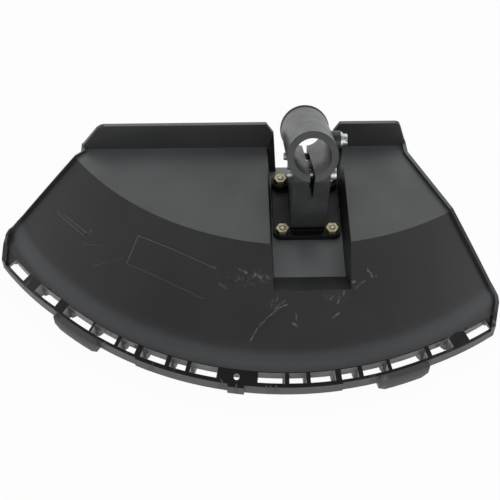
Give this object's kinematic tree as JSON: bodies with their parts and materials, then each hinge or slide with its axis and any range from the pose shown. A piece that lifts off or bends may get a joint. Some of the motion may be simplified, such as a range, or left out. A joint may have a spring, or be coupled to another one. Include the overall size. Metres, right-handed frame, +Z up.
{
  "type": "brush cutter blade guard",
  "caption": "Wide black plastic deflector guard with raised back wall, sloping front, slotted outer strip and a bolted split clamp for the shaft.",
  "frame": {"origin": "middle of the clamp bore on its axis", "axes": "+Z up from the flat top of the shell, +Y towards the machine, X across the shaft; the bore axis falls towards +Y by 32.5 degrees"},
  "size_m": [0.3932, 0.2216, 0.1412],
  "materials": {
    "guard_plastic": "satin black moulding, scuffed",
    "clamp_casting": "black coated die casting",
    "zinc_steel": "bright zinc",
    "yellow_zinc": "yellow zinc over steel"
  },
  "bodies": {
    "root": {"guard_shell": "guard_plastic", "clamp_bracket": "clamp_casting", "bolt_front_left": "zinc_steel", "bolt_front_right": "zinc_steel", "bolt_rear_left": "zinc_steel", "bolt_rear_right": "zinc_steel", "nut_front_left": "yellow_zinc", "nut_front_right": "yellow_zinc", "nut_rear_left": "yellow_zinc", "nut_rear_right": "yellow_zinc", "clamp_screw_front": "zinc_steel", "clamp_screw_rear": "zinc_steel", "lock_screw": "zinc_steel", "lock_washer": "zinc_steel"}
  },
  "joints": []
}
